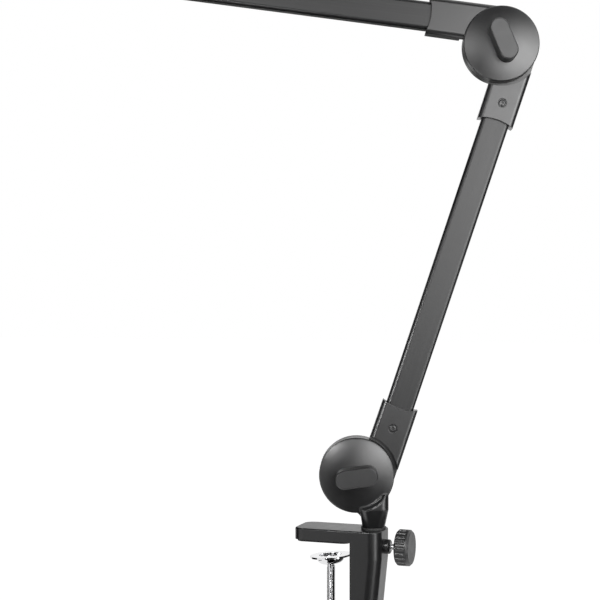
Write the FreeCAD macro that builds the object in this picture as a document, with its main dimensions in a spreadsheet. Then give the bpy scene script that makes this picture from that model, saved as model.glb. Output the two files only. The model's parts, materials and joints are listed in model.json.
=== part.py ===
import FreeCAD, Part
import math
import os
import re
import Sketcher

# Microphone boom arm: desk clamp, swivelling neck, two tube arms with lap joints, tilting head.
# Millimetres. +Z is up. The origin is where the clamp screw's axis meets the desk top.
# The jaw points along -X, and the front of the arms, with the knobs, faces -Y before the yaw.

Vector = FreeCAD.Vector
doc = FreeCAD.newDocument("MicrophoneBoomArm")
sheet = doc.addObject("Spreadsheet::Sheet", "Sizes")

# Driving dimensions
SIZES = {
    # Pose at rest, in degrees
    "arm_yaw": 17.0,
    "lower_lean": 71.5,
    "upper_rise": 8.0,
    "head_pitch": 90.0,
    "shoulder_knob_turn": 8.5,
    "elbow_knob_turn": 112.5,
    "head_knob_turn": 90.0,
    # Clearances
    "fit_gap": 0.05,
    "running_gap": 0.2,
    "knuckle_gap": 3.0,
    # Arms
    "arm_length": 350.0,
    "tube_width": 21.6,
    "tube_thickness": 13.0,
    "tube_wall": 1.8,
    "tube_round": 3.0,
    "tube_insertion": 24.0,
    # Arm knuckles
    "arm_joint_radius": 29.0,
    "arm_joint_half": 10.7,
    "disc_edge": 1.0,
    "arm_joint_rise": 3.5,
    "sleeve_width": 28.0,
    "sleeve_draft": 0.6,
    "sleeve_thickness": 18.0,
    "sleeve_reach": 59.0,
    "shoulder_sleeve_reach": 62.0,
    "sleeve_scallop": 2.7,
    "sleeve_round": 3.6,
    "sleeve_screw_reach": 8.0,
    # Sleeve screws
    "screw_head_diameter": 5.6,
    "screw_head_height": 1.1,
    "screw_recess_diameter": 7.0,
    "screw_recess_depth": 1.3,
    "screw_diameter": 3.0,
    "screw_length": 6.0,
    "screw_socket_flats": 2.0,
    "screw_socket_depth": 1.5,
    # Pivot stack of the shoulder and the elbow
    "arm_joint_bolt": 6.0,
    "arm_joint_flats": 10.0,
    "arm_joint_bolt_head": 4.0,
    "arm_joint_washer": 1.2,
    "arm_joint_washer_inset": 3.0,
    "pivot_bush_wall": 2.0,
    "thrust_washer_rim": 3.5,
    "thrust_washer_thickness": 1.2,
    "arm_joint_cap_radius": 8.5,
    "arm_joint_cap": 2.2,
    # Oval knobs of the shoulder and the elbow
    "arm_joint_knob_length": 32.5,
    "arm_joint_knob_width": 14.4,
    "arm_joint_knob_height": 16.1,
    "oval_chamfer": 0.8,
    "arm_joint_insert_radius": 4.5,
    "arm_joint_insert_length": 10.0,
    # Neck
    "shoulder_offset": 13.2,
    "neck_rise": 13.8,
    "neck_foot_width": 17.4,
    "neck_foot_round": 6.2,
    "neck_top_width": 22.4,
    "neck_top_round": 6.0,
    "neck_top_inset": 2.7,
    "neck_stand": 4.2,
    "neck_shift": 0.25,
    "neck_ledge_inset": 4.8,
    "neck_ledge_round": 1.4,
    "neck_ledge_steepness": 50.0,
    "neck_web_round": 9.4,
    "neck_web_front": 5.5,
    "pin_diameter": 10.0,
    "pin_length": 23.0,
    "pin_grip": 10.0,
    "pin_groove_depth": 0.8,
    "pin_groove_width": 7.0,
    "bush_wall": 1.2,
    "bush_flange_radius": 9.7,
    "bush_flange_thickness": 2.0,
    # Desk clamp
    "clamp_width": 34.0,
    "jaw_thickness": 9.0,
    "jaw_reach": 26.2,
    "jaw_round": 8.0,
    "jaw_pad_thickness": 1.5,
    "jaw_pad_margin": 2.0,
    "throat_depth": 20.5,
    "throat_height": 62.0,
    "spine_depth": 23.4,
    "spine_foot_depth": 17.0,
    "spine_taper_start": 22.0,
    "spine_round": 9.0,
    "swivel_setback": 14.3,
    "lower_jaw_thickness": 12.0,
    "lower_jaw_reach": 10.0,
    "socket_floor": 2.0,
    "edge_round": 1.2,
    # Swivel lock screw
    "lock_drop": 13.1,
    "boss_radius": 5.6,
    "boss_length": 4.7,
    "lock_screw_diameter": 5.0,
    "lock_shank_shown": 5.6,
    "lock_knob_radius": 13.9,
    "lock_knob_length": 11.2,
    "lock_knob_chamfer": 1.4,
    "lock_rib_depth": 0.9,
    "lock_rib_radius": 1.35,
    "lock_rib_count": 22,
    "lock_knob_web": 3.0,
    "lock_tip_bevel": 0.8,
    # Clamp screw
    "clamp_opening": 11.7,
    "rod_diameter": 7.0,
    "foot_radius": 16.2,
    "foot_depth": 7.0,
    "foot_wall": 1.4,
    "foot_bowl_radius": 11.0,
    "foot_bowl_round": 5.0,
    "foot_mouth_radius": 8.8,
    "foot_collar_radius": 5.8,
    "rivet_neck_radius": 2.6,
    "rivet_head_radius": 4.2,
    "rivet_head_height": 1.6,
    "rivet_play": 0.45,
    "foot_tilt": 4.6,
    "hub_radius": 6.5,
    "hub_height": 13.0,
    "hub_margin": 0.7,
    "hub_grip": 2.5,
    "bar_diameter": 5.0,
    "bar_length": 62.0,
    "bar_cap_radius": 4.6,
    "bar_cap_length": 9.0,
    "bar_cap_grip": 6.0,
    "bar_cap_dome": 2.3,
    # Head
    "head_joint_radius": 14.0,
    "head_joint_half": 9.0,
    "head_joint_rise": 1.6,
    "head_reach": 24.0,
    "head_joint_bolt": 5.0,
    "head_joint_flats": 8.0,
    "head_joint_bolt_head": 3.0,
    "head_joint_washer": 1.0,
    "head_joint_washer_inset": 2.0,
    "head_joint_knob_length": 22.0,
    "head_joint_knob_width": 11.4,
    "head_joint_knob_height": 11.0,
    "head_joint_insert_radius": 3.6,
    "head_joint_insert_length": 7.5,
    "head_joint_cap_radius": 6.5,
    "head_joint_cap": 1.6,
    "socket_radius": 9.0,
    "socket_length": 17.0,
    "stud_journal_radius": 5.5,
    "stud_diameter": 9.5,
    "stud_tip": 1.0,
    "stud_flange_radius": 8.4,
    "stud_flange_thickness": 2.4,
    "stud_groove_depth": 1.0,
    "grub_diameter": 4.0,
    "adapter_diameter": 15.8,
    "adapter_length": 12.0,
    "adapter_rim_radius": 9.6,
    "adapter_rim_thickness": 2.0,
}
for row, (alias, value) in enumerate(SIZES.items(), start=1):
    sheet.set(f"A{row}", alias.replace("_", " "))
    sheet.set(f"B{row}", str(value))
    sheet.setAlias(f"B{row}", alias)
doc.recompute()


# Expressions: every alias has an underscore, which tells it from a function's name
def cells(text):
    return re.sub(r"[a-z]+(?:_[a-z]+)+", lambda word: f"Sizes.{word.group()}", str(text))


def number(text):
    found = sheet.evalExpression(cells(text))
    return float(getattr(found, "Value", found))


def place(x="0", y="0", z="0", axis="0; 0; 1", turn="0"):
    return f"placement(vector({x}; {y}; {z}); rotation(vector({axis}); {turn}))"


def chain(*steps):
    return " * ".join(steps)


# Sizes worked out from the driving dimensions
CLAMP_TOP = "(jaw_pad_thickness + jaw_thickness)"
SWIVEL_X = "(throat_depth + swivel_setback)"
SPINE_BACK = "(throat_depth + spine_depth)"
SHOULDER_HEIGHT = "(neck_rise + arm_joint_radius)"
ARM_AXIS = "(arm_joint_radius - sleeve_width / 2)"
TUBE_START = "(sleeve_reach - tube_insertion)"
SCREW_START = f"({TUBE_START} + sleeve_screw_reach)"
GRUB_Z = "-(head_reach + socket_length / 2)"
HUB_TOP = "(throat_height + lower_jaw_thickness + hub_margin)"

# Frames: the arms' plane is X and Z, with the pivots along Y
SWIVEL = place(SWIVEL_X, "0", CLAMP_TOP, turn="arm_yaw")
SHOULDER = chain(SWIVEL, place("-shoulder_offset", "0", SHOULDER_HEIGHT))
LOWER = chain(SHOULDER, place(axis="0; 1; 0", turn="-lower_lean"))
ELBOW = chain(LOWER, place("arm_length"))
LOWER_END = chain(ELBOW, place(axis="0; 1; 0", turn="180"))
ELBOW_LEVEL = chain(ELBOW, place(axis="0; 1; 0", turn="lower_lean"))
UPPER = chain(ELBOW, place(axis="0; 1; 0", turn="180 + upper_rise + lower_lean"))
HEAD = chain(UPPER, place("arm_length", "0", f"-{ARM_AXIS}"))
UPPER_END = chain(HEAD, place(axis="0; 1; 0", turn="180"))
HEAD_TILT = chain(HEAD, place(axis="0; 1; 0", turn="head_pitch - 180 - upper_rise"))
TO_FRONT = place(axis="1; 0; 0", turn="90")
LOCK = place(SPINE_BACK, "0", f"{CLAMP_TOP} - lock_drop", axis="0; 1; 0", turn="90")
FOOT = place("0", "0", "-clamp_opening")
RIVET = place("0", "0", "-foot_depth", axis="0; 1; 0", turn="-foot_tilt")
FOOT_TILTED = chain(FOOT, RIVET, place("0", "0", "foot_depth"))
BAR = place("0", "0", f"-{HUB_TOP} - clamp_opening - hub_height / 2", axis="1; 0; 0", turn="90")

# Edges nearer a face than this lie on it
TOUCH = 1e-3

nodes = []


def new_body(label, frame):
    body = doc.addObject("PartDesign::Body", label)
    body.Label = label
    body.setExpression("Placement", cells(frame))
    return body


def keep(shape_object):
    nodes.append(shape_object)
    return shape_object


def new_sketch(body, plane, offset="0"):
    sketch = body.newObject("Sketcher::SketchObject", f"{body.Name}_outline")
    role = next(face for face in body.Origin.OriginFeatures if face.Role == plane)
    sketch.AttachmentSupport = [(role, "")]
    sketch.MapMode = "FlatFace"
    sketch.setExpression("AttachmentOffset.Base.z", cells(offset))
    return sketch


def pin_point(sketch, edge, end, x, y):
    for kind, text, line in (("DistanceX", x, -2), ("DistanceY", y, -1)):
        if str(text) == "0":
            sketch.addConstraint(Sketcher.Constraint("PointOnObject", edge, end, line))
            continue
        datum = sketch.addConstraint(Sketcher.Constraint(kind, -1, 1, edge, end, number(text)))
        sketch.setExpression(f"Constraints[{datum}]", cells(text))


def add_path(sketch, path):
    """Draws a closed outline. A point is (x, y), or (x, y, radius) if an arc leads to the next point:
    it bends to the left of the way for a positive radius, and to the right for a negative one."""
    first = sketch.GeometryCount
    starts = [Vector(number(point[0]), number(point[1]), 0) for point in path]
    ends = []
    for index, point in enumerate(path):
        here, there = starts[index], starts[(index + 1) % len(path)]
        if len(point) == 2:
            sketch.addGeometry(Part.LineSegment(here, there), False)
            ends.append((1, 2))
            continue
        radius = abs(number(point[2]))
        left_turn = not str(point[2]).startswith("-")
        middle = (here + there) * 0.5
        way = there - here
        rise = math.sqrt(max(radius**2 - (way.Length / 2) ** 2, 0))
        side = Vector(-way.y, way.x, 0).normalize() * (rise if left_turn else -rise)
        centre = middle + side
        begin, end = (here, there) if left_turn else (there, here)
        angles = [math.atan2(p.y - centre.y, p.x - centre.x) for p in (begin, end)]
        circle = Part.Circle(centre, Vector(0, 0, 1), radius)
        edge = sketch.addGeometry(Part.ArcOfCircle(circle, *angles), False)
        ends.append((1, 2) if left_turn else (2, 1))
        datum = sketch.addConstraint(Sketcher.Constraint("Radius", edge, radius))
        sketch.setExpression(f"Constraints[{datum}]", cells(str(point[2]).lstrip("-")))
    count = len(path)
    for index in range(count):
        after = (index + 1) % count
        joint = ("Coincident", first + index, ends[index][1], first + after, ends[after][0])
        sketch.addConstraint(Sketcher.Constraint(*joint))
    for index, point in enumerate(path):
        pin_point(sketch, first + index, ends[index][0], point[0], point[1])


def add_circle(sketch, x, y, radius):
    circle = Part.Circle(Vector(number(x), number(y), 0), Vector(0, 0, 1), number(radius))
    edge = sketch.addGeometry(circle, False)
    datum = sketch.addConstraint(Sketcher.Constraint("Radius", edge, number(radius)))
    sketch.setExpression(f"Constraints[{datum}]", cells(radius))
    pin_point(sketch, edge, 3, x, y)


def path_sketch(body, plane, path, offset="0"):
    sketch = new_sketch(body, plane, offset)
    add_path(sketch, path)
    return sketch


def circle_sketch(body, plane, x, y, radius, offset="0"):
    sketch = new_sketch(body, plane, offset)
    add_circle(sketch, x, y, radius)
    return sketch


def rounded_rectangle(x, y, width, height, radius):
    left, right = f"{x} - ({width}) / 2", f"{x} + ({width}) / 2"
    low, high = f"{y} - ({height}) / 2", f"{y} + ({height}) / 2"
    return [
        (f"{left} + {radius}", low),
        (f"{right} - {radius}", low, radius),
        (right, f"{low} + {radius}"),
        (right, f"{high} - {radius}", radius),
        (f"{right} - {radius}", high),
        (f"{left} + {radius}", high, radius),
        (left, f"{high} - {radius}"),
        (left, f"{low} + {radius}", radius),
    ]


def hexagon(flats):
    corner = f"{flats} / (2 * cos(30))"
    return [(f"{corner} * cos({60 * n + 30})", f"{corner} * sin({60 * n + 30})") for n in range(6)]


def pad(body, sketch, length, both_ways=False, reverse=False):
    feature = body.newObject("PartDesign::Pad", f"{body.Name}_pad")
    feature.Profile = sketch
    feature.setExpression("Length", cells(length))
    feature.Midplane = both_ways
    feature.Reversed = reverse
    doc.recompute()
    return feature


def cut(body, sketch, length=None, both_ways=False, reverse=False):
    """Cuts a sketch into the body, and stops if nothing was removed."""
    before = body.Shape.Volume
    feature = body.newObject("PartDesign::Pocket", f"{body.Name}_cut")
    feature.Profile = sketch
    feature.Midplane = both_ways
    feature.Reversed = reverse
    if length is None:
        feature.Type = "ThroughAll"
    else:
        feature.setExpression("Length", cells(length))
    doc.recompute()
    if body.Shape.Volume >= before:
        raise RuntimeError(f"{feature.Name} cut nothing from {body.Label}")
    return feature


def turn(body, sketch, kind="Revolution"):
    before = body.Shape.Volume if kind == "Groove" else 0
    feature = body.newObject(f"PartDesign::{kind}", f"{body.Name}_turned")
    feature.Profile = sketch
    feature.ReferenceAxis = (sketch, ["V_Axis"])
    feature.Angle = 360
    doc.recompute()
    if kind == "Groove" and body.Shape.Volume >= before:
        raise RuntimeError(f"{feature.Name} cut nothing from {body.Label}")
    return feature


def ease(body, kind, size, chosen):
    """Rounds or bevels the edges of the body that a test picks."""
    base = body.Tip
    names = [f"Edge{n}" for n, edge in enumerate(base.Shape.Edges, start=1) if chosen(edge)]
    feature = body.newObject(f"PartDesign::{kind}", f"{body.Name}_eased")
    feature.Base = (base, names)
    feature.setExpression("Radius" if kind == "Fillet" else "Size", cells(size))
    doc.recompute()
    return feature


def turned(label, frame, path):
    """A lathe piece about its own Z axis, from an outline of radius and height."""
    body = new_body(label, frame)
    turn(body, path_sketch(body, "XZ_Plane", path))
    return keep(body)


def ring(label, frame, inner, outer, low, high):
    return turned(label, frame, [(inner, low), (outer, low), (outer, high), (inner, high)])


def group(label, pieces):
    """Identical pieces share one node as separate solids."""
    for piece in pieces:
        nodes.remove(piece)
    compound = doc.addObject("Part::Compound", label)
    compound.Label = label
    compound.Links = pieces
    return keep(compound)


def lies_along(edge, direction):
    line = edge.Curve
    return hasattr(line, "Direction") and abs(line.Direction.dot(direction)) > 0.99


# Desk clamp
def clamp_frame():
    body = new_body("clamp_frame", place())
    foot_low = "-(throat_height + lower_jaw_thickness)"
    outline = [
        ("-jaw_reach", "jaw_pad_thickness"),
        ("throat_depth", "jaw_pad_thickness"),
        ("throat_depth", "-throat_height"),
        ("-lower_jaw_reach", "-throat_height"),
        ("-lower_jaw_reach", foot_low),
        ("throat_depth + spine_foot_depth", foot_low),
        (SPINE_BACK, f"{CLAMP_TOP} - spine_taper_start"),
        (SPINE_BACK, CLAMP_TOP),
        ("-jaw_reach", CLAMP_TOP),
    ]
    pad(body, path_sketch(body, "XZ_Plane", outline), "clamp_width", both_ways=True)
    back = number(SPINE_BACK)
    tip = -number("jaw_reach")
    lower_tip = -number("lower_jaw_reach")
    throat = number("throat_depth")
    upright = Vector(0, 0, 1)

    def is_upright(edge):
        span = edge.BoundBox
        return span.YLength < TOUCH and span.ZLength > 2 * span.XLength

    ease(body, "Fillet", "spine_round", lambda e: is_upright(e) and e.BoundBox.XMin > throat + TOUCH)
    ease(body, "Fillet", "jaw_round", lambda e: lies_along(e, upright) and e.BoundBox.XMax < tip + TOUCH)
    ease(
        body,
        "Fillet",
        "clamp_width / 2 - edge_round",
        lambda e: lies_along(e, upright) and abs(e.BoundBox.XMax - lower_tip) < TOUCH,
    )
    top = number(CLAMP_TOP)
    ease(body, "Fillet", "edge_round", lambda e: e.BoundBox.ZMin > top - TOUCH)
    boss = circle_sketch(body, "YZ_Plane", "0", f"{CLAMP_TOP} - lock_drop", "boss_radius", SWIVEL_X)
    pad(body, boss, "spine_depth - swivel_setback + boss_length")
    boss_face = back + number("boss_length")
    ease(body, "Fillet", "edge_round", lambda e: e.BoundBox.XMin > boss_face - TOUCH)
    socket = "pin_diameter / 2 + fit_gap + bush_wall"
    socket_circle = circle_sketch(body, "XY_Plane", SWIVEL_X, "0", socket, CLAMP_TOP)
    cut(body, socket_circle, "pin_length + socket_floor")
    lock_hole = "lock_screw_diameter / 2 + fit_gap"
    lock = circle_sketch(body, "YZ_Plane", "0", f"{CLAMP_TOP} - lock_drop", lock_hole, SWIVEL_X)
    cut(body, lock, "spine_depth - swivel_setback + boss_length", reverse=True)
    nut = circle_sketch(body, "XY_Plane", "0", "0", "rod_diameter / 2 + 2 * fit_gap", "-throat_height")
    cut(body, nut, "lower_jaw_thickness")
    return keep(body)


def jaw_pad():
    body = new_body("jaw_pad", place())
    length = "jaw_reach + throat_depth - 2 * jaw_pad_margin"
    middle = "(throat_depth - jaw_reach) / 2"
    width = "clamp_width - 2 * jaw_pad_margin"
    outline = rounded_rectangle(middle, "0", length, width, "(jaw_round - jaw_pad_margin)")
    pad(body, path_sketch(body, "XY_Plane", outline), "jaw_pad_thickness")
    return keep(body)


def socket_bush():
    inner = "pin_diameter / 2 + fit_gap"
    outer = "pin_diameter / 2 + fit_gap + bush_wall"
    frame = place(SWIVEL_X, "0", CLAMP_TOP)
    outline = [
        (inner, "-pin_length"),
        (outer, "-pin_length"),
        (outer, "0"),
        ("bush_flange_radius", "0"),
        ("bush_flange_radius", "bush_flange_thickness - running_gap"),
        (inner, "bush_flange_thickness - running_gap"),
    ]
    bush = turned("socket_bush", frame, outline)
    window = circle_sketch(bush, "YZ_Plane", "0", "-lock_drop", "lock_screw_diameter / 2 + fit_gap")
    cut(bush, window, "bush_flange_radius", reverse=True)
    return bush


def swivel_lock():
    tip = "-(spine_depth - swivel_setback - pin_diameter / 2 + pin_groove_depth - running_gap)"
    face = "boss_length + lock_shank_shown"
    shank_radius = "lock_screw_diameter / 2"
    end = f"{face} + lock_knob_length - lock_knob_web"
    shank = [
        ("0", tip),
        (f"{shank_radius} - lock_tip_bevel", tip),
        (shank_radius, f"{tip} + lock_tip_bevel"),
        (shank_radius, end),
        ("0", end),
    ]
    turned("lock_screw", LOCK, shank)
    knob = new_body("lock_knob", LOCK)
    disc = circle_sketch(knob, "XY_Plane", "0", "0", "lock_knob_radius", face)
    pad(knob, disc, "lock_knob_length")
    radius = number("lock_knob_radius")
    ease(knob, "Chamfer", "lock_knob_chamfer", lambda e: e.BoundBox.XLength > radius)
    rib_x = "lock_knob_radius + lock_rib_radius - lock_rib_depth"
    rib = circle_sketch(knob, "XY_Plane", rib_x, "0", "lock_rib_radius", face)
    groove = cut(knob, rib, "lock_knob_length - 2 * lock_knob_chamfer", reverse=True)
    pattern = knob.newObject("PartDesign::PolarPattern", "lock_knob_ribs")
    pattern.Originals = [groove]
    pattern.Axis = (rib, ["N_Axis"])
    pattern.Angle = 360
    pattern.setExpression("Occurrences", cells("lock_rib_count"))
    knob.Tip = pattern
    doc.recompute()
    bore = circle_sketch(knob, "XY_Plane", "0", "0", f"{shank_radius} + fit_gap", face)
    cut(knob, bore, "lock_knob_length - lock_knob_web", reverse=True)
    keep(knob)


def clamp_foot():
    floor = "-foot_depth + foot_wall"
    hole = "rivet_neck_radius + rivet_play"
    outline = [
        (hole, "-foot_depth"),
        ("foot_collar_radius", "-foot_depth", "foot_bowl_round"),
        ("foot_bowl_radius", "-foot_wall"),
        ("foot_radius", "-foot_wall"),
        ("foot_radius", "0"),
        ("foot_mouth_radius", "0", "-(foot_bowl_round - foot_wall)"),
        ("foot_collar_radius - foot_wall / 2", floor),
        (hole, floor),
    ]
    return turned("clamp_foot", FOOT_TILTED, outline)


def clamp_screw():
    """The screw's rod, riveted to the foot with play to tilt, and the hub that the handle slides in."""
    floor = "-foot_depth + foot_wall + rivet_play"
    shoulder = "-foot_depth - rivet_play"
    rod_low = f"-{HUB_TOP} - hub_grip"
    outline = [
        ("0", rod_low),
        ("rod_diameter / 2", rod_low),
        ("rod_diameter / 2", shoulder),
        ("rivet_neck_radius", shoulder),
        ("rivet_neck_radius", floor),
        ("rivet_head_radius", floor),
        ("rivet_head_radius / 2", f"{floor} + rivet_head_height"),
        ("0", f"{floor} + rivet_head_height"),
    ]
    turned("clamp_screw", FOOT, outline)
    hub_low = f"-{HUB_TOP} - hub_height"
    grip = "rod_diameter / 2 + fit_gap"
    shell = [
        ("0", hub_low),
        ("hub_radius - edge_round", hub_low),
        ("hub_radius", f"{hub_low} + edge_round"),
        ("hub_radius", f"-{HUB_TOP} - edge_round"),
        ("hub_radius - edge_round", f"-{HUB_TOP}"),
        (grip, f"-{HUB_TOP}"),
        (grip, f"{rod_low} - fit_gap"),
        ("0", f"{rod_low} - fit_gap"),
    ]
    hub = turned("screw_hub", FOOT, shell)
    eye_z = f"-{HUB_TOP} - hub_height / 2"
    eye = circle_sketch(hub, "XZ_Plane", "0", eye_z, "bar_diameter / 2 + fit_gap")
    cut(hub, eye, "2 * hub_radius", both_ways=True)


def clamp_handle():
    ring("handle_bar", BAR, "0", "bar_diameter / 2", "-bar_length / 2", "bar_length / 2")
    inner = "bar_length / 2 - bar_cap_grip"
    outer = f"{inner} + bar_cap_length"
    bore = "bar_diameter / 2 + fit_gap"
    dome = "(bar_cap_radius^2 + bar_cap_dome^2) / (2 * bar_cap_dome)"
    outline = [
        (bore, inner),
        ("bar_cap_radius", inner),
        ("bar_cap_radius", f"{outer} - bar_cap_dome", dome),
        ("0", outer),
        ("0", "bar_length / 2 + fit_gap"),
        (bore, "bar_length / 2 + fit_gap"),
    ]
    other_way = chain(BAR, place(axis="1; 0; 0", turn="180"))
    caps = [turned(f"handle_cap_{n}", frame, outline) for n, frame in enumerate((BAR, other_way), start=1)]
    return group("handle_caps", caps)


# Lap joints: two half-thick discs face each other on a bolt, with a friction washer between them
class LapJoint:
    """Expressions for one size of lap joint, from the sizes with its prefix. Heights are measured out
    from the middle plane."""

    def __init__(self, prefix):
        bolt = f"{prefix}_bolt"
        self.radius = f"{prefix}_radius"
        self.half = f"{prefix}_half"
        self.rise = f"{prefix}_rise"
        self.flats = f"{prefix}_flats"
        self.bolt_head = f"{prefix}_bolt_head"
        self.cap_radius = f"{prefix}_cap_radius"
        self.washer_radius = f"({prefix}_radius - {prefix}_washer_inset)"
        self.knob_length = f"{prefix}_knob_length"
        self.knob_width = f"{prefix}_knob_width"
        self.knob_height = f"{prefix}_knob_height"
        self.insert_radius = f"{prefix}_insert_radius"
        self.insert_length = f"{prefix}_insert_length"
        self.washer_half = f"({prefix}_washer / 2)"
        self.bolt_radius = f"({bolt} / 2)"
        self.bush_radius = f"({bolt} / 2 + pivot_bush_wall)"
        self.thrust_radius = f"({bolt} / 2 + thrust_washer_rim)"
        self.apex = f"({self.half} + {self.rise})"
        self.sphere = f"((({self.radius} - disc_edge)^2 + {self.rise}^2) / (2 * {self.rise}))"
        self.thrust_top = f"({self.apex} - running_gap)"
        self.seat = f"({self.thrust_top} - thrust_washer_thickness)"
        self.cap_floor = f"({self.apex} - {prefix}_cap)"
        self.bolt_end = f"({self.apex} + {self.insert_length})"

    def dome_height(self, radius, gap="0"):
        return f"({self.apex} - {self.sphere} + sqrt(({self.sphere} + {gap})^2 - ({radius})^2))"


ARM_JOINT = LapJoint("arm_joint")
HEAD_JOINT = LapJoint("head_joint")


def lap_disc(body, joint, side):
    """Adds a domed half-thick disc: side "-" is the front one, which turns on the bolt's bush, and
    side "" the rear one, which holds the bolt's head under a cap."""
    front = side == "-"
    bore = f"{joint.bush_radius} + fit_gap" if front else f"{joint.bolt_radius} + fit_gap"
    recess = f"{joint.thrust_radius} + fit_gap" if front else f"{joint.cap_radius} + fit_gap"
    floor = joint.seat if front else joint.cap_floor
    disc = [
        ("0", f"{side}{joint.washer_half}"),
        (joint.radius, f"{side}{joint.washer_half}"),
        (joint.radius, f"{side}({joint.half} - disc_edge)", f"{side}disc_edge"),
        (f"{joint.radius} - disc_edge", f"{side}{joint.half}", f"{side}{joint.sphere}"),
        ("0", f"{side}{joint.apex}"),
    ]
    turn(body, path_sketch(body, "XY_Plane", disc))
    stepped_hole = [
        ("0", f"{side}{joint.washer_half}"),
        (bore, f"{side}{joint.washer_half}"),
        (bore, f"{side}{floor}"),
        (recess, f"{side}{floor}"),
        (recess, f"{side}{joint.apex}"),
        ("0", f"{side}{joint.apex}"),
    ]
    turn(body, path_sketch(body, "XY_Plane", stepped_hole), "Groove")
    if not front:
        corners = hexagon(f"({joint.flats} + 2 * fit_gap)")
        socket = path_sketch(body, "XZ_Plane", corners, f"-{joint.cap_floor}")
        cut(body, socket, joint.bolt_head, reverse=True)


def clear_other_disc(body, joint, side, radius):
    """Hollows the half of a sleeve or column that faces the other disc, round the pivot."""
    offset = f"-{joint.washer_half}" if side == "" else joint.washer_half
    hollow = circle_sketch(body, "XZ_Plane", "0", "0", radius, offset)
    cut(body, hollow, reverse=side == "")


def knuckle(label, frame, joint, disc_side, sleeve_side, screw_side, reach="sleeve_reach"):
    """A cast arm end: a sleeve for the tube, and the half disc of a lap joint. A sleeve at one side of the
    disc, "-" or "", runs off its rim. With no side it stands in the middle."""
    body = new_body(label, frame)
    if sleeve_side is None:
        outer, inner = "-sleeve_width / 2", "sleeve_width / 2"
        inner_near = inner
        hollow = "head_reach"
    else:
        outer = f"{sleeve_side}arm_joint_radius"
        inner = f"{sleeve_side}(arm_joint_radius - sleeve_width)"
        inner_near = f"{sleeve_side}(arm_joint_radius - sleeve_width - sleeve_draft)"
        hollow = "arm_joint_radius + knuckle_gap"
    middle = f"({outer} + {inner}) / 2"
    scallop = "(sleeve_width^2 / 8 / sleeve_scallop + sleeve_scallop / 2)"
    bend = "" if sleeve_side == "" else "-"
    outline = [
        ("0", outer),
        (reach, outer, f"{bend}{scallop}"),
        (reach, inner),
        ("0", inner_near),
    ]
    pad(body, path_sketch(body, "XZ_Plane", outline), "sleeve_thickness", both_ways=True)
    long_way = Vector(1, 0, 0)
    ease(body, "Fillet", "sleeve_round", lambda e: lies_along(e, long_way))
    clear_other_disc(body, joint, disc_side, hollow)
    lap_disc(body, joint, disc_side)
    thickness, width = "(tube_thickness + 2 * fit_gap)", "(tube_width + 2 * fit_gap)"
    bore = rounded_rectangle("0", middle, thickness, width, "(tube_round + fit_gap)")
    pocket = path_sketch(body, "YZ_Plane", bore, TUBE_START)
    cut(body, pocket, f"{reach} - {TUBE_START}", reverse=True)
    front = screw_side == "-"
    face = "sleeve_thickness / 2" if front else "-sleeve_thickness / 2"
    spot = (SCREW_START, middle)
    recess = circle_sketch(body, "XZ_Plane", *spot, "screw_recess_diameter / 2", face)
    cut(body, recess, "screw_recess_depth", reverse=not front)
    hole = circle_sketch(body, "XZ_Plane", *spot, "screw_diameter / 2 + fit_gap", face)
    cut(body, hole, "(sleeve_thickness - tube_thickness) / 2", reverse=not front)
    return keep(body)


def tube(label, frame, screw_side):
    """A drawn tube between two sleeves, with a screw hole near each end."""
    body = new_body(label, frame)
    section = new_sketch(body, "YZ_Plane", TUBE_START)
    centre = f"-{ARM_AXIS}"
    add_path(section, rounded_rectangle("0", centre, "tube_thickness", "tube_width", "tube_round"))
    hollow = ["tube_thickness - 2 * tube_wall", "tube_width - 2 * tube_wall", "(tube_round - tube_wall)"]
    add_path(section, rounded_rectangle("0", centre, *hollow))
    pad(body, section, f"arm_length - 2 * {TUBE_START}")
    for reach in (SCREW_START, f"arm_length - {SCREW_START}"):
        face = "tube_thickness / 2" if screw_side == "-" else "-tube_thickness / 2"
        hole = circle_sketch(body, "XZ_Plane", reach, centre, "screw_diameter / 2 + fit_gap", face)
        cut(body, hole, "tube_wall", reverse=screw_side != "-")
    return keep(body)


def sleeve_screws(label, frame, screw_side):
    outward = "90" if screw_side == "-" else "-90"
    head_low = "sleeve_thickness / 2 - screw_recess_depth"
    outline = [
        ("0", f"{head_low} + screw_head_height - screw_length"),
        ("screw_diameter / 2", f"{head_low} + screw_head_height - screw_length"),
        ("screw_diameter / 2", head_low),
        ("screw_head_diameter / 2", head_low),
        ("screw_head_diameter / 2", f"{head_low} + screw_head_height / 2"),
        ("screw_head_diameter / 3", f"{head_low} + screw_head_height"),
        ("0", f"{head_low} + screw_head_height"),
    ]
    pieces = []
    for n, reach in enumerate((SCREW_START, f"arm_length - {SCREW_START}"), start=1):
        spot = chain(frame, place(reach, "0", f"-{ARM_AXIS}", axis="1; 0; 0", turn=outward))
        screw = turned(f"{label}_{n}", spot, outline)
        corners = hexagon("screw_socket_flats")
        socket = path_sketch(screw, "XY_Plane", corners, f"{head_low} + screw_head_height")
        cut(screw, socket, "screw_socket_depth")
        pieces.append(screw)
    return group(label, pieces)


# Pieces on a pivot, along an axis that points out of the front
def pivot_bolt(label, frame, joint):
    body = new_body(label, chain(frame, TO_FRONT))
    low = f"-{joint.cap_floor}"
    head = path_sketch(body, "XY_Plane", hexagon(joint.flats), low)
    pad(body, head, f"{joint.bolt_head} - fit_gap")
    shank = circle_sketch(body, "XY_Plane", "0", "0", joint.bolt_radius, low)
    pad(body, shank, f"{joint.cap_floor} + {joint.bolt_end}")
    return keep(body)


def pivot_cap(label, frame, joint):
    outline = [
        ("0", f"-{joint.apex}", f"{joint.sphere}"),
        (joint.cap_radius, f"-{joint.dome_height(joint.cap_radius)}"),
        (joint.cap_radius, f"-{joint.cap_floor} - fit_gap"),
        ("0", f"-{joint.cap_floor} - fit_gap"),
    ]
    return turned(label, chain(frame, TO_FRONT), outline)


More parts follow.
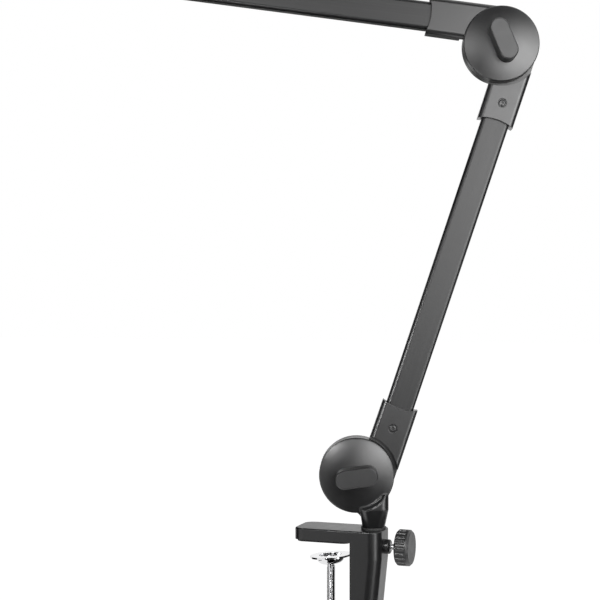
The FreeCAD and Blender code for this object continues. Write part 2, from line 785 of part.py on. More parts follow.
def pivot_rings(name, frame, joint):
    """The friction washer, the bush in the front disc and the thrust washer under the knob."""
    axis = chain(frame, TO_FRONT)
    bolt_bore = f"{joint.bolt_radius} + fit_gap"
    low = f"-{joint.washer_half} + fit_gap"
    ring(f"{name}_friction_washer", axis, bolt_bore, joint.washer_radius, low, joint.washer_half)
    ring(f"{name}_bush", axis, bolt_bore, joint.bush_radius, joint.washer_half, joint.seat)
    ring(f"{name}_thrust_washer", axis, bolt_bore, joint.thrust_radius, joint.seat, joint.thrust_top)


def oval_knob(name, frame, joint, turned_by):
    """An oval knob over the dome, with a brass insert for the bolt's thread."""
    axis = chain(frame, TO_FRONT, place(turn=turned_by))
    gap = "(2 * running_gap)"
    half, end = f"({joint.knob_length} / 2)", f"({joint.knob_width} / 2)"
    straight = f"({half} - {end})"
    base = joint.dome_height(half, gap)
    body = new_body(f"{name}_knob", axis)
    slot = [
        (f"-{straight}", f"-{end}"),
        (straight, f"-{end}", end),
        (half, "0", end),
        (straight, end),
        (f"-{straight}", end, end),
        (f"-{half}", "0", end),
    ]
    top = f"{joint.apex} + {joint.knob_height}"
    pad(body, path_sketch(body, "XY_Plane", slot, base), f"{top} - {base}")
    face = number(top)
    ease(body, "Chamfer", "oval_chamfer", lambda e: e.BoundBox.ZMin > face - TOUCH)
    rim = f"({half} + oval_chamfer)"
    underside = [
        ("0", f"{joint.apex} + {gap}", f"-({joint.sphere} + {gap})"),
        (rim, joint.dome_height(rim, gap)),
        (rim, f"{base} - oval_chamfer"),
        ("0", f"{base} - oval_chamfer"),
    ]
    turn(body, path_sketch(body, "XZ_Plane", underside), "Groove")
    low = f"{joint.thrust_top} + fit_gap"
    radius, length = joint.insert_radius, joint.insert_length
    pocket = circle_sketch(body, "XY_Plane", "0", "0", f"{radius} + fit_gap", low)
    cut(body, pocket, f"{length} + 2 * running_gap", reverse=True)
    keep(body)
    inner = f"{joint.bolt_radius} + fit_gap"
    waist = f"{radius} - 2 * running_gap"
    third = f"({length} / 3)"
    outline = [
        (inner, low),
        (radius, low),
        (radius, f"{low} + {third}"),
        (waist, f"{low} + {third}"),
        (waist, f"{low} + 2 * {third}"),
        (radius, f"{low} + 2 * {third}"),
        (radius, f"{low} + {length}"),
        (inner, f"{low} + {length}"),
    ]
    turned(f"{name}_knob_insert", axis, outline)


# Neck
def neck():
    """The cast neck: a foot that swells into the front half of the shoulder joint, with a ledge that
    sweeps up from the dome to the neck's front face."""
    body = new_body("neck", SHOULDER)
    foot_low = f"-({SHOULDER_HEIGHT} - bush_flange_thickness)"
    top_level = "(arm_joint_radius - neck_top_inset)"
    lead = "-(arm_joint_half + neck_stand - neck_top_width / 2)"
    foot_square = ["neck_foot_width", "neck_foot_width", "neck_foot_round"]
    top_square = ["neck_top_width", "neck_top_width", "neck_top_round"]
    foot_outline = rounded_rectangle("shoulder_offset", "0", *foot_square)
    top_outline = rounded_rectangle("shoulder_offset + neck_shift", lead, *top_square)
    column = body.newObject("PartDesign::AdditiveLoft", "neck_column")
    column.Profile = path_sketch(body, "XY_Plane", foot_outline, foot_low)
    column.Sections = [path_sketch(body, "XY_Plane", top_outline, f"-{top_level}")]
    doc.recompute()
    shoulder = path_sketch(body, "XY_Plane", top_outline, f"-{top_level}")
    pad(body, shoulder, f"{top_level} - arm_joint_radius / 2")
    rim = "-(arm_joint_half - disc_edge)"
    root = "(arm_joint_radius - neck_ledge_inset)"
    low = f"({ARM_JOINT.dome_height(root)} - fit_gap)"
    high = "(arm_joint_half + neck_stand + fit_gap)"
    outside = f"-({high} + disc_edge)"
    sweep = "(neck_ledge_round * sin(neck_ledge_steepness))"
    lift = "(neck_ledge_round * (1 - cos(neck_ledge_steepness)))"
    crest = f"({root} + 2 * {sweep} + ({high} - {low} - 2 * {lift}) / tan(neck_ledge_steepness))"
    ledge = [
        ("0", rim),
        (root, rim),
        (root, f"-{low}", "-neck_ledge_round"),
        (f"{root} + {sweep}", f"-({low} + {lift})"),
        (f"{crest} - {sweep}", f"-({high} - {lift})", "neck_ledge_round"),
        (crest, f"-{high}"),
        (crest, outside),
        ("0", outside),
    ]
    turn(body, path_sketch(body, "XY_Plane", ledge), "Groove")
    web_left = "shoulder_offset - neck_foot_width / 2"
    web_low = "-(arm_joint_radius + neck_web_round)"
    web = [
        (web_left, web_low, "neck_web_round"),
        (f"{web_left} - neck_web_round", "-arm_joint_radius + disc_edge"),
        ("0", "-arm_joint_radius / 2"),
        ("shoulder_offset", "-arm_joint_radius / 2"),
        ("shoulder_offset", web_low),
    ]
    web_face = ARM_JOINT.washer_half
    pad(body, path_sketch(body, "XZ_Plane", web, web_face), f"neck_web_front - {web_face}")
    clear_other_disc(body, ARM_JOINT, "-", f"{ARM_JOINT.radius} + knuckle_gap")
    lap_disc(body, ARM_JOINT, "-")
    bore = circle_sketch(body, "XY_Plane", "shoulder_offset", "0", "pin_diameter / 2 + fit_gap", foot_low)
    cut(body, bore, "pin_grip", reverse=True)
    return keep(body)


def swivel_pin():
    """The steel pin of the neck, with a groove that the lock screw's tip bears in."""
    radius = "pin_diameter / 2"
    groove = f"{radius} - pin_groove_depth"
    low = "-pin_length + running_gap"
    outline = [
        ("0", low),
        (f"{radius} - pin_groove_depth", low),
        (radius, f"{low} + pin_groove_depth"),
        (radius, "-lock_drop - pin_groove_width / 2"),
        (groove, "-lock_drop - pin_groove_width / 2"),
        (groove, "-lock_drop + pin_groove_width / 2"),
        (radius, "-lock_drop + pin_groove_width / 2"),
        (radius, "bush_flange_thickness + pin_grip - fit_gap"),
        ("0", "bush_flange_thickness + pin_grip - fit_gap"),
    ]
    return turned("swivel_pin", SWIVEL, outline)


# Head
def head_block():
    """The cast head: a small front disc, and a socket below it for the turning stud."""
    body = new_body("head_block", HEAD_TILT)
    socket_low = "-(head_reach + socket_length)"
    barrel = circle_sketch(body, "XY_Plane", "0", "0", "socket_radius", socket_low)
    pad(body, barrel, "socket_length")
    low = number(socket_low)
    ease(body, "Chamfer", "disc_edge", lambda e: e.BoundBox.ZMax < low + TOUCH)
    side = "socket_radius"
    web = [
        (f"-{side}", "-head_reach - socket_length / 2"),
        (side, "-head_reach - socket_length / 2"),
        (side, "0"),
        (f"-{side}", "0"),
    ]
    face = HEAD_JOINT.washer_half
    pad(body, path_sketch(body, "XZ_Plane", web, face), f"head_joint_half - disc_edge - {face}")
    lap_disc(body, HEAD_JOINT, "-")
    journal = circle_sketch(body, "XY_Plane", "0", "0", "stud_journal_radius + fit_gap", socket_low)
    cut(body, journal, "socket_length - 2 * edge_round", reverse=True)
    grub = circle_sketch(body, "XZ_Plane", "0", GRUB_Z, "grub_diameter / 2 + fit_gap")
    cut(body, grub, "socket_radius", reverse=True)
    return keep(body)


def head_stud():
    """The turning stud: a journal with a groove for the grub screw, a flange and a threaded end."""
    radius = "stud_journal_radius"
    groove = f"{radius} - stud_groove_depth"
    low = "-(head_reach + socket_length + running_gap)"
    flange_low = f"{low} - stud_flange_thickness"
    tip = f"{flange_low} - adapter_rim_thickness - adapter_length - stud_tip"
    thread = "stud_diameter / 2"
    groove_half = "(grub_diameter / 2 + running_gap)"
    outline = [
        ("0", tip),
        (f"{thread} - stud_tip", tip),
        (thread, f"{tip} + stud_tip"),
        (thread, flange_low),
        ("stud_flange_radius", flange_low),
        ("stud_flange_radius", low),
        (radius, low),
        (radius, f"{GRUB_Z} - {groove_half}"),
        (groove, f"{GRUB_Z} - {groove_half}"),
        (groove, f"{GRUB_Z} + {groove_half}"),
        (radius, f"{GRUB_Z} + {groove_half}"),
        (radius, "-head_reach - 2 * edge_round - running_gap"),
        ("0", "-head_reach - 2 * edge_round - running_gap"),
    ]
    turned("head_stud", HEAD_TILT, outline)
    bore = f"{thread} + fit_gap"
    rim_low = f"{flange_low} - adapter_rim_thickness"
    end = f"{rim_low} - adapter_length"
    outer = "adapter_diameter / 2"
    sleeve = [
        (bore, end),
        (f"{outer} - stud_tip", end),
        (outer, f"{end} + stud_tip"),
        (outer, rim_low),
        ("adapter_rim_radius", rim_low),
        ("adapter_rim_radius", flange_low),
        (bore, flange_low),
    ]
    turned("thread_adapter", HEAD_TILT, sleeve)


def grub_screw():
    frame = chain(HEAD_TILT, place("0", "0", GRUB_Z), TO_FRONT)
    tip = "stud_journal_radius - stud_groove_depth + running_gap"
    return ring("stud_grub_screw", frame, "0", "grub_diameter / 2", tip, "socket_radius - 2 * running_gap")


# Assembly, from the desk to the microphone
clamp_frame()
jaw_pad()
socket_bush()
swivel_lock()
clamp_foot()
clamp_screw()
clamp_handle()
neck()
swivel_pin()

pivot_rings("shoulder", SHOULDER, ARM_JOINT)
pivot_bolt("shoulder_bolt", LOWER, ARM_JOINT)
pivot_cap("shoulder_bolt_cap", LOWER, ARM_JOINT)
oval_knob("shoulder", SHOULDER, ARM_JOINT, "shoulder_knob_turn")

knuckle("lower_arm_shoulder_knuckle", LOWER, ARM_JOINT, "", "-", "-", "shoulder_sleeve_reach")
tube("lower_arm_tube", LOWER, "-")
knuckle("lower_arm_elbow_knuckle", LOWER_END, ARM_JOINT, "", "", "-")
sleeve_screws("lower_arm_screws", LOWER, "-")

pivot_rings("elbow", ELBOW_LEVEL, ARM_JOINT)
pivot_bolt("elbow_bolt", LOWER_END, ARM_JOINT)
pivot_cap("elbow_bolt_cap", LOWER_END, ARM_JOINT)
oval_knob("elbow", ELBOW_LEVEL, ARM_JOINT, "elbow_knob_turn")

knuckle("upper_arm_elbow_knuckle", UPPER, ARM_JOINT, "-", "-", "")
tube("upper_arm_tube", UPPER, "")
knuckle("upper_arm_head_knuckle", UPPER_END, HEAD_JOINT, "", None, "")
sleeve_screws("upper_arm_screws", UPPER, "")

head_block()
head_stud()
grub_screw()
pivot_rings("head", HEAD_TILT, HEAD_JOINT)
pivot_bolt("head_bolt", UPPER_END, HEAD_JOINT)
pivot_cap("head_bolt_cap", UPPER_END, HEAD_JOINT)
oval_knob("head", HEAD_TILT, HEAD_JOINT, "head_knob_turn")

# Every piece is checked before any file is written
doc.recompute()
failed = [item.Name for item in doc.Objects if {"Invalid", "Error"} & set(item.State)]
broken = [node.Label for node in nodes if node.Shape.isNull() or not node.Shape.isValid()]
if failed or broken:
    raise RuntimeError(f"failed: {failed}, broken: {broken}")
os.makedirs("parts", exist_ok=True)
for node in nodes:
    node.Shape.exportStep(f"parts/{node.Label}.step")
print(f"{len(nodes)} nodes")
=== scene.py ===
"""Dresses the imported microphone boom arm: threads, finishes, studio light and the photograph's camera."""

import json
import math

import bmesh
import bpy
import numpy as np
from mathutils import Matrix, Vector


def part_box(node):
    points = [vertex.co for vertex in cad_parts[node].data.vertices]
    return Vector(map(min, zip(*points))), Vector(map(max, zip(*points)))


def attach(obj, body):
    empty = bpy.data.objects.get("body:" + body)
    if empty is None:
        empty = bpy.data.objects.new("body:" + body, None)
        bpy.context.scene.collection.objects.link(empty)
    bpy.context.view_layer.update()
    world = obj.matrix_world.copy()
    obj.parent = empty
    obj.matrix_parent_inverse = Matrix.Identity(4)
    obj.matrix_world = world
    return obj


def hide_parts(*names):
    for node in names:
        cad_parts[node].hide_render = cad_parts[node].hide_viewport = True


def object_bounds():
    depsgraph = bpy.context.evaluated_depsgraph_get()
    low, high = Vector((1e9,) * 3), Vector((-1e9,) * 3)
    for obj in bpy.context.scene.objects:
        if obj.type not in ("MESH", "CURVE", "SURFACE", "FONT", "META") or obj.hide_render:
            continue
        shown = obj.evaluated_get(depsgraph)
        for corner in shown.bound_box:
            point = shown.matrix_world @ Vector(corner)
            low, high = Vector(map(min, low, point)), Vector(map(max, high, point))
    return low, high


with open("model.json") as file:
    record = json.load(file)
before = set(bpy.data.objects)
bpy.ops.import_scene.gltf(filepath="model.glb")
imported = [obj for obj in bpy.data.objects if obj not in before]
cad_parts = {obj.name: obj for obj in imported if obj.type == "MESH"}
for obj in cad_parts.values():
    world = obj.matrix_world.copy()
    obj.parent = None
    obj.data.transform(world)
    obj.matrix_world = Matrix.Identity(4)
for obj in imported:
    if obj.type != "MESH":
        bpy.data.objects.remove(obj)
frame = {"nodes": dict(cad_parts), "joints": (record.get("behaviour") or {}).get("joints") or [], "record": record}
nodes = frame["nodes"]
cad_box = [list(corner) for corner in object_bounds()]
scene = bpy.context.scene
scene.view_settings.view_transform = "Standard"

# Materials: lengths are in metres, colours in linear light and noise scales in cells a metre
SATIN_BLACK = (0.012, 0.012, 0.0125)
EASED_EDGE = 0.0006
DRIFT_SCALE = 22
GLOSS_SCALE = 140
GLOSS_VARY = 0.07
GRAIN_STRENGTH = 0.35
# Most values of a noise texture fall between these two
NOISE_LOW = 0.3
NOISE_HIGH = 0.7


def shader(name, colour, roughness, metallic=0.0, specular=0.5):
    """A Principled material with its constant values set, and object coordinates to hang textures on."""
    material = bpy.data.materials.new(name)
    material.use_nodes = True
    tree = material.node_tree
    surface = tree.nodes["Principled BSDF"]
    surface.inputs["Base Color"].default_value = (*colour, 1)
    surface.inputs["Roughness"].default_value = roughness
    surface.inputs["Metallic"].default_value = metallic
    surface.inputs["Specular IOR Level"].default_value = specular
    coordinates = tree.nodes.new("ShaderNodeTexCoord")
    return material, tree, surface, coordinates.outputs["Object"]


def noise(tree, place, scale, detail):
    texture = tree.nodes.new("ShaderNodeTexNoise")
    texture.inputs["Scale"].default_value = scale
    texture.inputs["Detail"].default_value = detail
    tree.links.new(place, texture.inputs["Vector"])
    return texture.outputs["Fac"]


def spread(tree, value, low, high):
    """Maps the range that a noise texture fills to low and high."""
    remap = tree.nodes.new("ShaderNodeMapRange")
    remap.inputs["From Min"].default_value = NOISE_LOW
    remap.inputs["From Max"].default_value = NOISE_HIGH
    remap.inputs["To Min"].default_value = low
    remap.inputs["To Max"].default_value = high
    tree.links.new(value, remap.inputs["Value"])
    return remap.outputs["Result"]


def tint(tree, surface, value, dark, light):
    """Drives the surface's colour from dark to light by a value."""
    blend = tree.nodes.new("ShaderNodeMix")
    blend.data_type = "RGBA"
    blend.inputs["A"].default_value = (*dark, 1)
    blend.inputs["B"].default_value = (*light, 1)
    tree.links.new(value, blend.inputs["Factor"])
    tree.links.new(blend.outputs["Result"], surface.inputs["Base Color"])


def bumps(tree, surface, value, strength, height, edge):
    """A bumped normal over edges that are eased by a small radius."""
    eased = tree.nodes.new("ShaderNodeBevel")
    eased.inputs["Radius"].default_value = edge
    bump = tree.nodes.new("ShaderNodeBump")
    tree.links.new(eased.outputs["Normal"], bump.inputs["Normal"])
    bump.inputs["Strength"].default_value = strength
    bump.inputs["Distance"].default_value = height
    tree.links.new(value, bump.inputs["Height"])
    tree.links.new(bump.outputs["Normal"], surface.inputs["Normal"])


def finish(
    name,
    colour,
    roughness,
    metallic=0.0,
    specular=0.5,
    grain=1500,
    grain_depth=0.00003,
    vary=0.18,
    edge=EASED_EDGE,
):
    """A fine-grained finish: colour and gloss drift, the grain gives a little bump, and edges are eased."""
    material, tree, surface, place = shader(name, colour, roughness, metallic, specular)
    drift = noise(tree, place, DRIFT_SCALE, detail=3)
    dark = [value * (1 - vary) for value in colour]
    light = [value * (1 + vary) for value in colour]
    tint(tree, surface, spread(tree, drift, 0, 1), dark, light)
    patches = noise(tree, place, GLOSS_SCALE, detail=4)
    gloss = spread(tree, patches, roughness * (1 - GLOSS_VARY), roughness * (1 + GLOSS_VARY))
    tree.links.new(gloss, surface.inputs["Roughness"])
    bumps(tree, surface, noise(tree, place, grain, detail=2), GRAIN_STRENGTH, grain_depth, edge)
    return material


CASTING = finish("cast_black_satin", SATIN_BLACK, roughness=0.32, specular=1.0)
CLAMP = finish("clamp_black_satin", (0.011, 0.011, 0.0115), roughness=0.31, specular=0.55)
NECK = finish("neck_black_satin", SATIN_BLACK, roughness=0.30, specular=1.0, edge=0.002)
KNOB = finish("knob_black_plastic", (0.014, 0.014, 0.0145), roughness=0.40, specular=0.9, grain=1900)
BEARING = finish("bearing_plastic", (0.03, 0.03, 0.03), roughness=0.6)
RUBBER = finish("black_rubber", (0.02, 0.02, 0.02), roughness=0.8, grain=900, grain_depth=0.00006)
CHROME = finish(
    "bright_chrome",
    (0.78, 0.78, 0.79),
    roughness=0.10,
    metallic=1.0,
    grain=400,
    grain_depth=0.000001,
    vary=0.04,
    edge=0.0002,
)
STEEL = finish("plain_steel", (0.50, 0.50, 0.51), roughness=0.32, metallic=1.0, vary=0.10)
DARK_STEEL = finish("black_oxide_steel", (0.02, 0.02, 0.021), roughness=0.34, specular=1.0)
BRASS = finish("brass", (0.72, 0.52, 0.24), roughness=0.3, metallic=1.0, vary=0.10)

SLOT_FINISH = {
    "cast_black": CASTING,
    "clamp_black": CLAMP,
    "knob_black": KNOB,
    "bearing_plastic": BEARING,
    "rubber": RUBBER,
    "chrome_steel": CHROME,
    "plain_steel": STEEL,
    "dark_steel": DARK_STEEL,
    "brass": BRASS,
}


def long_axis(node):
    """The direction in which a node is longest."""
    corners = np.array([vertex.co for vertex in nodes[node].data.vertices])
    return Vector(np.linalg.svd(corners - corners.mean(0), full_matrices=False)[2][0])


def drawn_tube(node):
    """Black satin with the fine streaks that drawing leaves along a tube."""
    roughness = 0.34
    roughness_vary = 0.03
    tint_vary = 0.003
    stretch = 60
    streak_scale = 900
    grain_scale = 1800
    grain_strength = 0.5
    grain_depth = 0.00002
    material, tree, surface, place = shader(f"{node}_satin", SATIN_BLACK, roughness, specular=0.7)
    stretched = tree.nodes.new("ShaderNodeMapping")
    stretched.vector_type = "TEXTURE"
    turn = Vector((1, 0, 0)).rotation_difference(long_axis(node))
    stretched.inputs["Rotation"].default_value = turn.to_euler()
    stretched.inputs["Scale"].default_value = (stretch, 1, 1)
    tree.links.new(place, stretched.inputs["Vector"])
    along_tube = stretched.outputs["Vector"]
    streaks = noise(tree, along_tube, streak_scale, detail=3)
    dark = [value - tint_vary for value in SATIN_BLACK]
    light = [value + tint_vary for value in SATIN_BLACK]
    tint(tree, surface, spread(tree, streaks, 0, 1), dark, light)
    gloss = spread(tree, streaks, roughness - roughness_vary, roughness + roughness_vary)
    tree.links.new(gloss, surface.inputs["Roughness"])
    grain = noise(tree, along_tube, grain_scale, detail=2)
    bumps(tree, surface, grain, grain_strength, grain_depth, EASED_EDGE)
    return material


for subpart in frame["record"]["subparts"]:
    node, slot = subpart["node"], subpart["material_slot"]
    mesh = nodes[node].data
    mesh.materials.clear()
    mesh.materials.append(drawn_tube(node) if slot == "tube_black" else SLOT_FINISH[slot])
nodes["neck"].data.materials[0] = NECK

# Threads: the plain CAD screws get cut threads inside their outside diameters
# Half the width of a thread's crest and of its root, as shares of the pitch
CREST_HALF = 0.0625
ROOT_HALF = 0.4167
# The turns in which a thread runs out, and how deep its root goes, as a share of the thread's depth
RUN_OUT = 0.4
ROOT_SINK = 1.05
# Edges that turn by more than this, in degrees, are shaded sharp
SHARP_ANGLE = 35


def turned(axes, radius, angle, height):
    """The point at a radius, an angle and a height about an axis."""
    return axes @ Vector((radius * math.cos(angle), radius * math.sin(angle), height))


def along(origin, direction):
    """Axes with Z along a direction."""
    return Matrix.Translation(origin) @ Vector(direction).to_track_quat("Z", "Y").to_matrix().to_4x4()


def lathe(shape, axes, outline, steps):
    """Turns (radius, height) points about the axis, with a flat face at each end of an open outline."""
    angles = [2 * math.pi * step / steps for step in range(steps)]
    rings = []
    for radius, height in outline:
        rings.append([shape.verts.new(turned(axes, radius, angle, height)) for angle in angles])
    for ring, above in zip(rings, rings[1:]):
        for step in range(steps):
            following = (step + 1) % steps
            shape.faces.new((ring[step], ring[following], above[following], above[step]))
    if outline[0] != outline[-1]:
        shape.faces.new(rings[0][::-1])
        shape.faces.new(rings[-1])


def thread_ridge(shape, axes, radius, depth, pitch, low, high, steps):
    """One helical ridge with sloped flanks, which runs out into the core at both ends."""
    turns = (high - low) / pitch - 2 * ROOT_HALF
    count = int(turns * steps)
    root = radius - depth * ROOT_SINK
    rows = []
    for step in range(count + 1):
        angle = 2 * math.pi * step / steps
        middle = low + pitch * (ROOT_HALF + step / steps)
        run_out = min(1.0, step / (RUN_OUT * steps), (count - step) / (RUN_OUT * steps))
        crest = root + (radius - root) * run_out
        profile = ((root, -ROOT_HALF), (crest, -CREST_HALF), (crest, CREST_HALF), (root, ROOT_HALF))
        points = [turned(axes, reach, angle, middle + pitch * offset) for reach, offset in profile]
        rows.append([shape.verts.new(point) for point in points])
    for row, following in zip(rows, rows[1:]):
        for corner in range(len(row) - 1):
            shape.faces.new((row[corner], following[corner], following[corner + 1], row[corner + 1]))
    shape.faces.new(rows[0])
    shape.faces.new(rows[-1][::-1])


def threaded(name, node, body, material_slot, axes, outline, ridge, steps):
    """Replaces a plain CAD screw by its turned core and its thread."""
    shape = bmesh.new()
    lathe(shape, axes, outline, steps)
    thread_ridge(shape, axes, *ridge, steps)
    mesh = bpy.data.meshes.new(name)
    shape.to_mesh(mesh)
    shape.free()
    mesh.shade_smooth()
    mesh.set_sharp_from_angle(angle=math.radians(SHARP_ANGLE))
    mesh.materials.append(SLOT_FINISH[material_slot])
    piece = bpy.data.objects.new(name, mesh)
    scene.collection.objects.link(piece)
    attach(piece, body)
    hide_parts(node)


def clamp_screw_thread():
    """A threaded rod, with the neck and the domed head that hold the foot above it."""
    low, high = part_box("clamp_screw")
    radius = 0.0035
    pitch = 0.0010
    depth = 0.00055
    bevel = 0.0006
    neck = 0.0026
    neck_height = 0.0023
    head = high.x
    head_height = 0.0016
    # Shares of the head's radius and height, from its rim to its flat top
    dome = ((1.0, 0.0), (0.93, 0.45), (0.75, 0.85), (0.5, 1.0))
    core = radius - depth
    head_low = high.z - head_height
    shoulder = head_low - neck_height
    outline = [
        (core - bevel, low.z),
        (core, low.z + bevel),
        (core, shoulder - bevel),
        (core - bevel, shoulder),
        (neck, shoulder),
        (neck, head_low),
    ]
    outline += [(head * width, head_low + head_height * rise) for width, rise in dome]
    ridge = (radius, depth, pitch, low.z, shoulder)
    name = "clamp_screw_threaded"
    threaded(name, "clamp_screw", "clamp_screw", "chrome_steel", Matrix(), outline, ridge, steps=32)


def lock_screw_thread():
    """A threaded rod along X with a bevelled tip."""
    low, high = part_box("lock_screw")
    radius = (high.z - low.z) / 2
    pitch = 0.0008
    depth = 0.00043
    bevel = 0.0008
    core = radius - depth
    outline = [(core - bevel, low.x), (core, low.x + bevel), (core, high.x)]
    ridge = (radius, depth, pitch, low.x + bevel, high.x)
    axes = along((0, (low.y + high.y) / 2, (low.z + high.z) / 2), (1, 0, 0))
    name = "lock_screw_threaded"
    threaded(name, "lock_screw", "swivel_lock", "chrome_steel", axes, outline, ridge, steps=28)


def adapter_thread():
    """A bored sleeve that is threaded outside, with a rim at its near end."""
    joint = next(row for row in frame["joints"] if row["name"] == "stud_swivel")
    pivot = Vector(joint["pos_m"])
    outward = -Vector(joint["axis"])
    reaches = [(vertex.co - pivot).dot(outward) for vertex in nodes["thread_adapter"].data.vertices]
    near = min(reaches)
    far = max(reaches)
    radius = 0.0079
    pitch = 0.00094
    depth = 0.0005
    bevel = 0.001
    bore = 0.0048
    rim = 0.0096
    rim_thickness = 0.002
    rim_bevel = 0.0003
    core = radius - depth
    face = near + rim_thickness
    outline = [
        (bore, near),
        (rim - rim_bevel, near),
        (rim, near + rim_bevel),
        (rim, face - rim_bevel),
        (rim - rim_bevel, face),
        (core, face),
        (core, far - bevel),
        (core - bevel, far),
        (bore, far),
        (bore, near),
    ]
    ridge = (radius, depth, pitch, face, far - bevel / 2)
    axes = along(pivot, outward)
    name = "thread_adapter_threaded"
    threaded(name, "thread_adapter", "stud", "plain_steel", axes, outline, ridge, steps=48)


clamp_screw_thread()
lock_screw_thread()
adapter_thread()

# Stage: a white surround, a white floor that keeps the shadow, dark flags and soft boxes
WHITE = (1, 1, 1, 1)
SURROUND_LIGHT = 0.3
FLOOR_GLOW = 0.8
FLOOR_SIZE = 40
# The arms can hang this far below the clamp
FLOOR_DROP = 0.42
# A card reaches half of its size from its middle, and the falloff of its light reaches 1
FALLOFF_SCALE = 2.0
FLAG, *_ = shader("flag_black", (0.002, 0.002, 0.002), roughness=1.0, specular=0.0)
WALL_RADIUS = 1.6
WALL_STEPS = 36
WALL_LOW = -0.9
WALL_HIGH = 1.6
# The lower and the upper edge of each black wall, and the directions in degrees from +X that it spans
WALLS = {
    "front": (WALL_LOW, WALL_HIGH, -103, -15),
    "right": (WALL_LOW, 0.6, -15, 62),
    "left": (WALL_LOW, WALL_HIGH, 160, 207),
    "back_left_high": (0.40, WALL_HIGH, 112, 160),
    "back_left_low": (0.0, 0.40, 121, 160),
}


def rays_that_show(tree):
    """1 for what the camera, a reflection or a refraction sees, and 0 for light falling on things."""
    path = tree.nodes.new("ShaderNodeLightPath")
    total = path.outputs["Is Camera Ray"]
    for kind in ("Is Glossy Ray", "Is Transmission Ray"):
        either = tree.nodes.new("ShaderNodeMath")
        either.operation = "MAXIMUM"
        tree.links.new(total, either.inputs[0])
        tree.links.new(path.outputs[kind], either.inputs[1])
        total = either.outputs["Value"]
    return total


def multiplied(tree, value, factor):
    product = tree.nodes.new("ShaderNodeMath")
    product.operation = "MULTIPLY"
    product.inputs[1].default_value = factor
    tree.links.new(value, product.inputs[0])
    return product.outputs["Value"]


def white_surround():
    """Pure white where it shows, and a plain level of light elsewhere."""
    world = bpy.data.worlds.new("studio")
    scene.world = world
    world.use_nodes = True
    tree = world.node_tree
    background = tree.nodes["Background"]
    background.inputs["Color"].default_value = WHITE
    level = tree.nodes.new("ShaderNodeMapRange")
    level.inputs["To Min"].default_value = SURROUND_LIGHT
    level.inputs["To Max"].default_value = 1.0
    tree.links.new(rays_that_show(tree), level.inputs["Value"])
    tree.links.new(level.outputs["Result"], background.inputs["Strength"])


def panel(name, centre, facing, width, height, material):
    """A flat stage card that faces a point."""
    bpy.ops.mesh.primitive_plane_add(size=1)
    card = bpy.context.object
    card.name = name
    turn = (Vector(facing) - Vector(centre)).to_track_quat("Z", "Y")
    card.matrix_world = Matrix.LocRotScale(Vector(centre), turn, Vector((width, height, 1)))
    card.data.materials.append(material)
    return card


def white_floor():
    """A pale floor below the lowest reach of the arms, which glows a little where it shows."""
    low = cad_box[0][2] - FLOOR_DROP
    material, tree, surface, _ = shader("floor_white", (0.8, 0.8, 0.8), roughness=0.9, specular=0.0)
    surface.inputs["Emission Color"].default_value = WHITE
    glow = multiplied(tree, rays_that_show(tree), FLOOR_GLOW)
    tree.links.new(glow, surface.inputs["Emission Strength"])
    floor = panel("floor", (0, 0, low), (0, 0, 1), FLOOR_SIZE, FLOOR_SIZE, material)
    floor.visible_glossy = False


def only_in_reflections(card):
    """Hides a card from everything but glossy rays."""
    card.visible_camera = False
    card.visible_diffuse = False
    card.visible_shadow = False
    card.visible_transmission = False


def dark_wrap(low, high, start, end):
    """A black wall round part of the set, between two directions in degrees from +X."""
    shape = bmesh.new()
    rim = []
    for step in range(WALL_STEPS + 1):
        angle = math.radians(start + (end - start) * step / WALL_STEPS)
        x, y = WALL_RADIUS * math.cos(angle), WALL_RADIUS * math.sin(angle)
        rim.append((shape.verts.new((x, y, low)), shape.verts.new((x, y, high))))
    for (low_a, high_a), (low_b, high_b) in zip(rim, rim[1:]):
        shape.faces.new((low_a, low_b, high_b, high_a))
    mesh = bpy.data.meshes.new("dark_wrap")
    shape.to_mesh(mesh)
    shape.free()
    mesh.materials.append(FLAG)
    wrap = bpy.data.objects.new("dark_wrap", mesh)
    scene.collection.objects.link(wrap)
    only_in_reflections(wrap)


def flag_card(name, centre, facing, width, height):
    """A black card that darkens reflections."""
    card = panel(name, centre, facing, width, height, FLAG)
    only_in_reflections(card)


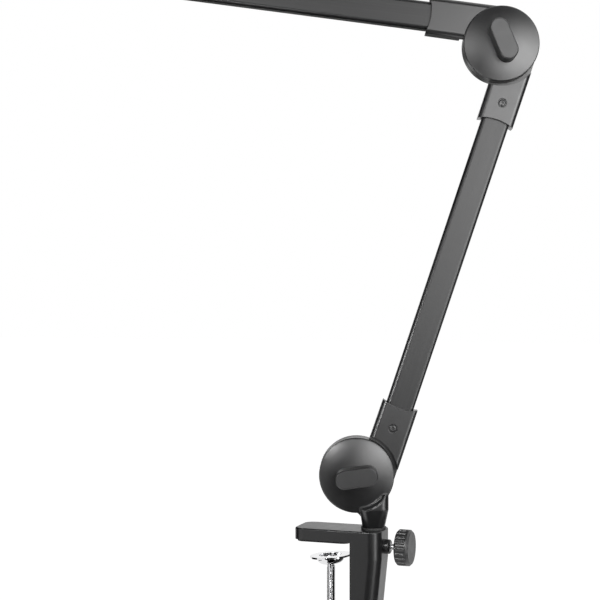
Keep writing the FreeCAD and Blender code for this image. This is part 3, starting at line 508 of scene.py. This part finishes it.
def soft_box(name, centre, facing, width, height, radiance):
    """A glowing card, brightest in the middle and fading to nothing at its rim."""
    material = bpy.data.materials.new(name)
    material.use_nodes = True
    tree = material.node_tree
    tree.nodes.remove(tree.nodes["Principled BSDF"])
    coordinates = tree.nodes.new("ShaderNodeTexCoord")
    falloff = tree.nodes.new("ShaderNodeTexGradient")
    falloff.gradient_type = "SPHERICAL"
    wide = tree.nodes.new("ShaderNodeVectorMath")
    wide.operation = "SCALE"
    wide.inputs["Scale"].default_value = FALLOFF_SCALE
    tree.links.new(coordinates.outputs["Object"], wide.inputs["Vector"])
    tree.links.new(wide.outputs["Vector"], falloff.inputs["Vector"])
    glow = tree.nodes.new("ShaderNodeEmission")
    tree.links.new(multiplied(tree, falloff.outputs["Fac"], radiance), glow.inputs["Strength"])
    tree.links.new(glow.outputs["Emission"], tree.nodes["Material Output"].inputs["Surface"])
    card = panel(name, centre, facing, width, height, material)
    card.visible_camera = False
    card.visible_shadow = False
    return card


def glint(name, centre, facing, width, height, radiance):
    """A soft box that adds a highlight and lights nothing else."""
    card = soft_box(name, centre, facing, width, height, radiance)
    only_in_reflections(card)


white_surround()
white_floor()
for wall in WALLS.values():
    dark_wrap(*wall)
flag_card("low_card", centre=(0.7, -0.9, -0.9), facing=(0.7, -0.9, 1), width=1.8, height=1.4)
flag_card("under_card", centre=(-0.34, 0.25, 0.32), facing=(-0.34, 0.25, 1), width=0.82, height=0.62)
flag_card("awning", centre=(0.0, -1.1, 1.3), facing=(0.0, -0.2, 0.2), width=3.0, height=1.6)
soft_box("key", centre=(0.77, -0.72, 0.39), facing=(0.08, 0.0, 0.39), width=1.5, height=1.1, radiance=8.0)
soft_box("fill", centre=(-0.04, -1.00, 0.56), facing=(0.08, 0.0, 0.56), width=0.9, height=0.6, radiance=4.6)
glint("ledge", centre=(-0.042, -0.30, 0.18), facing=(0.03, -0.045, 0.035), width=0.1, height=0.1, radiance=60)
glint("low_right", centre=(0.95, -0.50, -0.18), facing=(0.08, 0.0, 0.0), width=0.6, height=0.45, radiance=9)

# Camera: level, from the front right, with its angles in degrees
SENSOR_MM = 36
FRAME_PIXELS = 600
FOCAL_PIXELS = 1303.0
CAMERA_PLACE = (0.3219, -0.9734, 0.1884)
CAMERA_TILT = 90
CAMERA_YAW = 19.667


def photograph_camera():
    camera = bpy.data.cameras.new("camera")
    camera.sensor_width = SENSOR_MM
    camera.lens = FOCAL_PIXELS / FRAME_PIXELS * SENSOR_MM
    rig = bpy.data.objects.new("camera", camera)
    rig.location = CAMERA_PLACE
    rig.rotation_euler = (math.radians(CAMERA_TILT), 0, math.radians(CAMERA_YAW))
    scene.collection.objects.link(rig)
    scene.camera = rig


photograph_camera()
